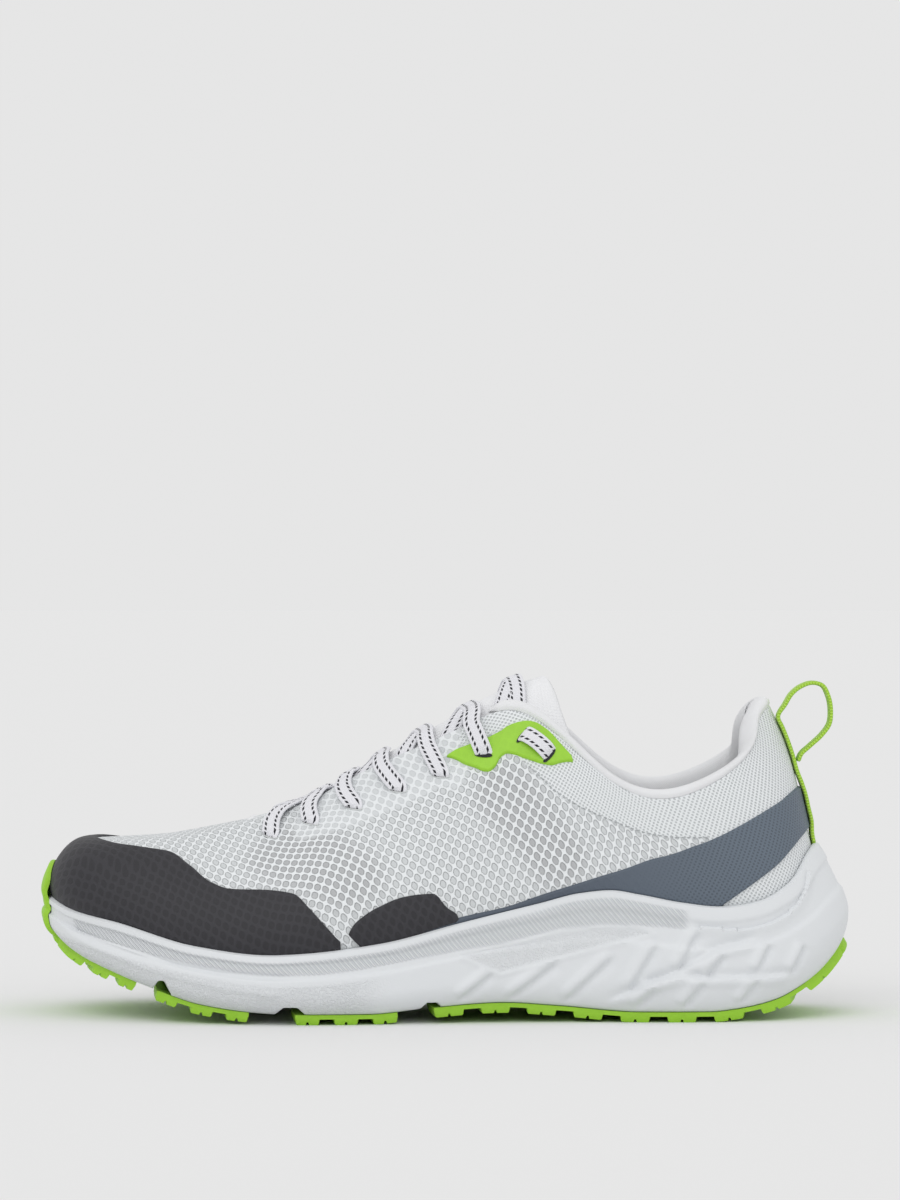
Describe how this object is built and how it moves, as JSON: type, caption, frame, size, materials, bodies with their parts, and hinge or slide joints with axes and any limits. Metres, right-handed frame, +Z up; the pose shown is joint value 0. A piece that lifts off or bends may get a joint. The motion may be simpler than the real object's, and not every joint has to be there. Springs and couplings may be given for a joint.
{
  "type": "trail running shoe",
  "caption": "Low trail running shoe for the left foot: mesh upper with toe and heel overlays, laced throat, sculpted foam midsole, lugged rubber outsole and heel pull loop.",
  "frame": {"origin": "on the ground, under the middle of the shoe", "axes": "-X towards the toe, -Y towards the lateral side, +Z up"},
  "size_m": [0.3007, 0.1108, 0.1258],
  "materials": {
    "upper_mesh": "open-cell engineered mesh, white over pale grey",
    "lining": "smooth knitted lining over foam",
    "insole_foam": "fabric-faced foam",
    "midsole_foam": "matt moulded foam",
    "outsole_rubber": "matt lime rubber",
    "film_charcoal": "charcoal film welded over mesh",
    "film_slate": "slate film welded over dotted mesh",
    "film_lime": "lime film",
    "lace": "flat woven lace",
    "webbing_lime": "woven webbing"
  },
  "bodies": {
    "root": {"upper": "upper_mesh", "collar_lining": "lining", "tongue": "lining", "insole": "insole_foam", "midsole": "midsole_foam", "outsole_toe": "outsole_rubber", "outsole_forefoot": "outsole_rubber", "outsole_ball": "outsole_rubber", "outsole_heel": "outsole_rubber", "toe_cap": "film_charcoal", "saddle_lateral": "film_charcoal", "saddle_medial": "film_charcoal", "heel_band": "film_slate", "eyestay_lateral": "film_lime", "eyestay_medial": "film_lime", "lace_bar": "lace", "lace_crossing_1": "lace", "lace_crossing_2": "lace", "lace_crossing_3": "lace", "lace_crossing_4": "lace", "lace_crossing_5": "lace", "lace_crossing_6": "lace", "lace_bar_lateral": "lace", "lace_bar_medial": "lace", "pull_loop": "webbing_lime"}
  },
  "joints": []
}
